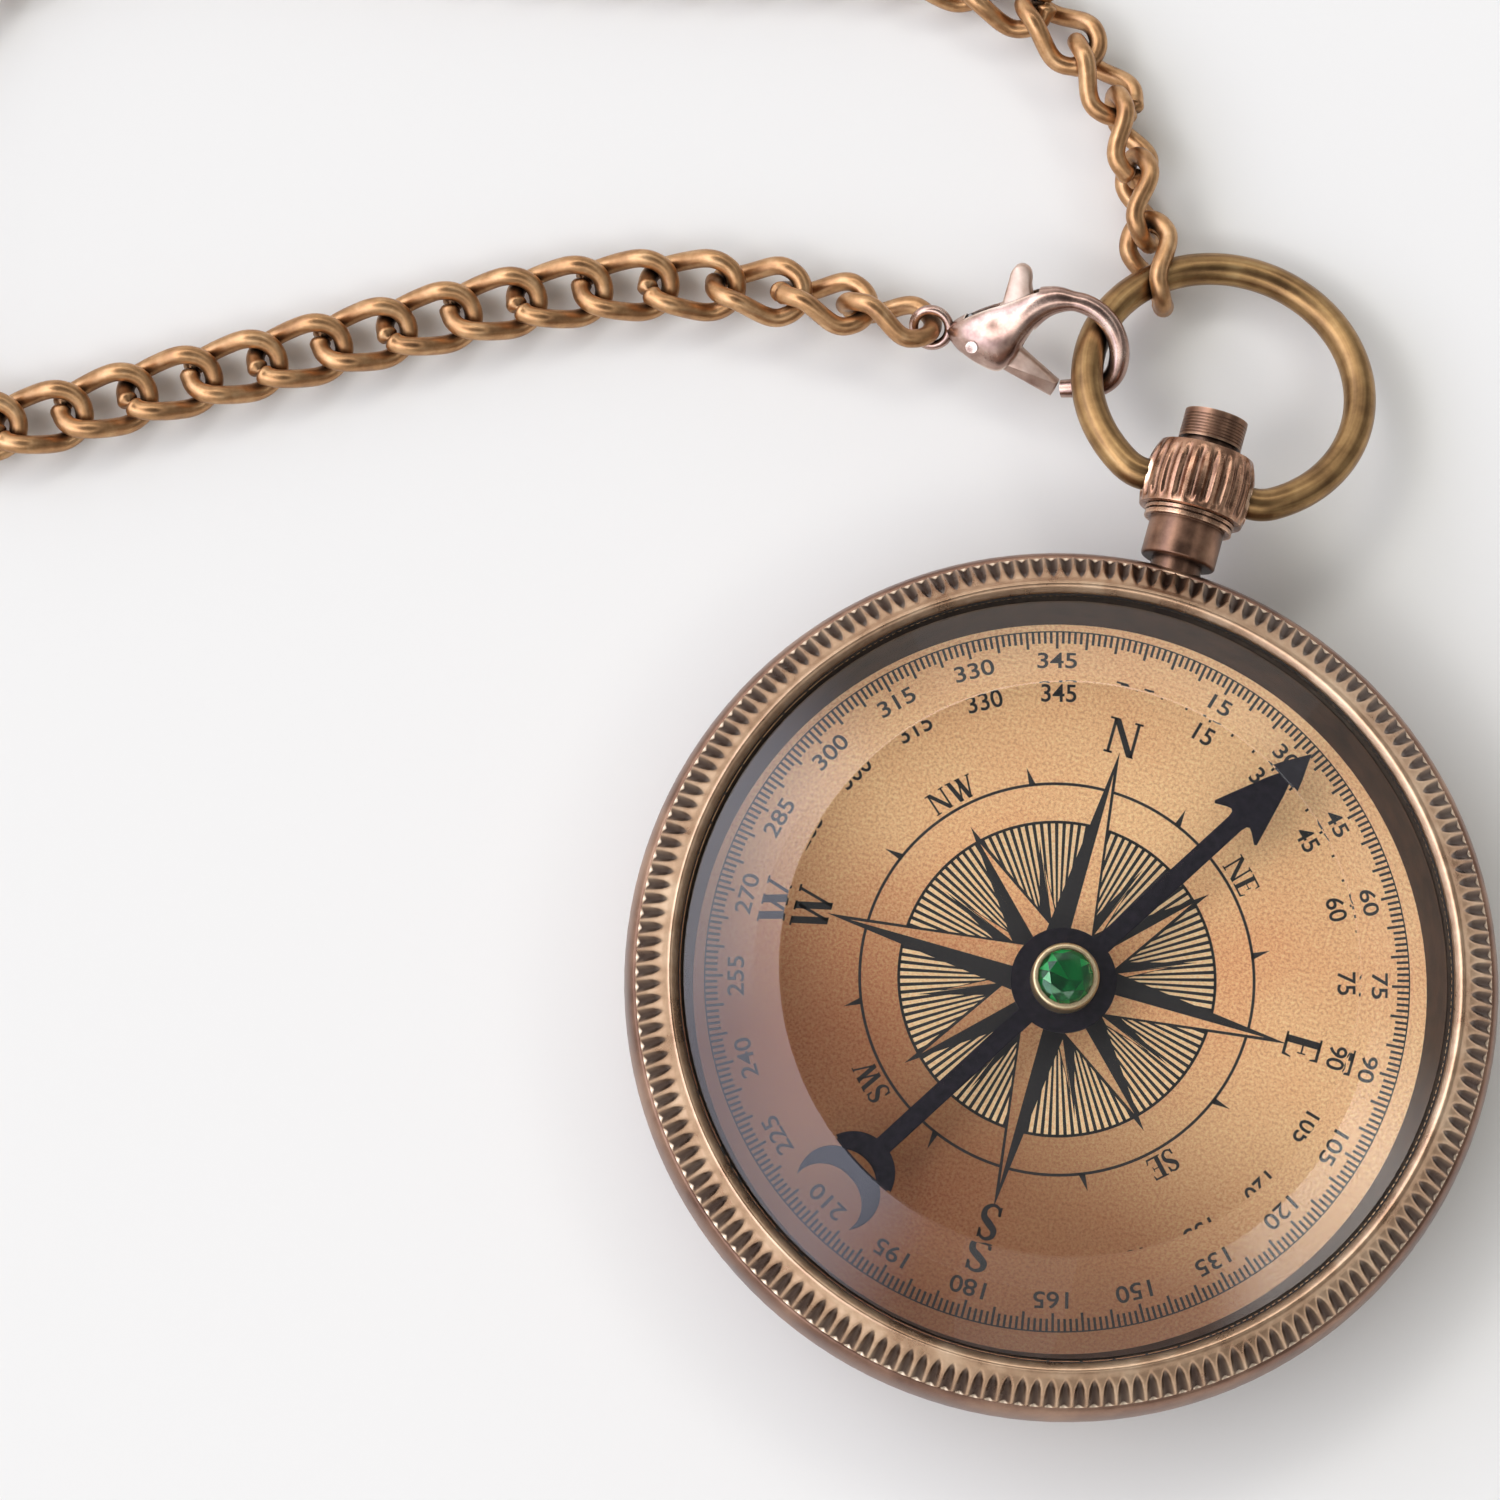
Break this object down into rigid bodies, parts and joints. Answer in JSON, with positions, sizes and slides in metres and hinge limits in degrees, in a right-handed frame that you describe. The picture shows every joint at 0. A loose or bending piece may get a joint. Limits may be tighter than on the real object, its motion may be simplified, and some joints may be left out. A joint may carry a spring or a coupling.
{
  "type": "pocket compass",
  "caption": "Round pocket compass with a fluted bezel, bevelled crystal, floating needle, ring bow on its crown and a curb chain with a lobster clasp.",
  "frame": {"origin": "centre of the case's flat back", "axes": "+Z out of the dial, +Y along the pendant from the case's centre to the crown, +X to the right of the dial"},
  "size_m": [0.1238, 0.0962, 0.0145],
  "materials": {
    "case_copper": "antique copper plating, dark in the recesses",
    "bezel_copper": "antique copper plating, worn bright on the ridges",
    "crystal_glass": "clear polished",
    "gasket_rubber": "matt black",
    "ring_bronze": "dark bronze lacquer",
    "dial_copper": "fine-grained copper face with black printing",
    "pivot_brass": "turned",
    "pin_steel": "hardened, polished point",
    "neck_copper": "dark antique copper plating",
    "crown_copper": "antique copper plating, glossy worn ridges",
    "spring_steel": "drawn wire",
    "needle_black": "satin black",
    "cap_brass": "polished",
    "jewel_red": "polished",
    "gem_green": "faceted, polished",
    "button_copper": "turned, antique copper plating",
    "bow_brass": "antique brass plating, lightly brushed",
    "clasp_copper": "smooth antique copper-nickel plating",
    "lever_copper": "smooth antique copper-nickel plating"
  },
  "bodies": {
    "bow_and_chain": {"bow": "bow_brass", "clasp_body": "clasp_copper", "clasp_rivet": "clasp_copper", "clasp_spring": "spring_steel", "chain_clasp_run": "bow_brass", "chain_left_run": "bow_brass", "chain_top_run": "bow_brass", "chain_bow_run": "bow_brass", "chain_end_link": "bow_brass"},
    "case": {"case_bowl": "case_copper", "bezel": "bezel_copper", "crystal": "crystal_glass", "crystal_gasket": "gasket_rubber", "dial_ring": "ring_bronze", "dial_plate": "dial_copper", "pivot_base": "pivot_brass", "pivot_pin": "pin_steel", "pendant_neck": "neck_copper", "crown": "crown_copper", "button_spring": "spring_steel"},
    "needle": {"needle_blade": "needle_black", "needle_cap": "cap_brass", "bearing_jewel": "jewel_red", "gem": "gem_green"},
    "button": {"button_cap": "button_copper", "button_stem": "pin_steel", "stem_clip": "spring_steel"},
    "clasp_gate": {"clasp_lever": "lever_copper"}
  },
  "joints": [
    {"name": "case_swing", "type": "hinge", "parent": "bow_and_chain", "child": "case", "pos_m": [0, 0.0342, 0.0072], "axis": [-1, 0, 0], "range_deg": [-115, 145]},
    {"name": "needle_spin", "type": "hinge", "parent": "case", "child": "needle", "pos_m": [0, 0, 0.00797], "axis": [0, 0, -1], "continuous": true},
    {"name": "button_press", "type": "slide", "parent": "case", "child": "button", "axis": [0, -1, 0], "range_m": [0, 0.00045], "stiffness_N_per_m": 900, "springref_m": -0.0008},
    {"name": "clasp_gate_hinge", "type": "hinge", "parent": "bow_and_chain", "child": "clasp_gate", "pos_m": [-0.01668, 0.04081, 0.00283], "axis": [-0.1358, -0.5159, 0.8458], "range_deg": [0, 24], "stiffness_Nm_per_rad": 0.008, "springref_deg": -20.05}
  ]
}
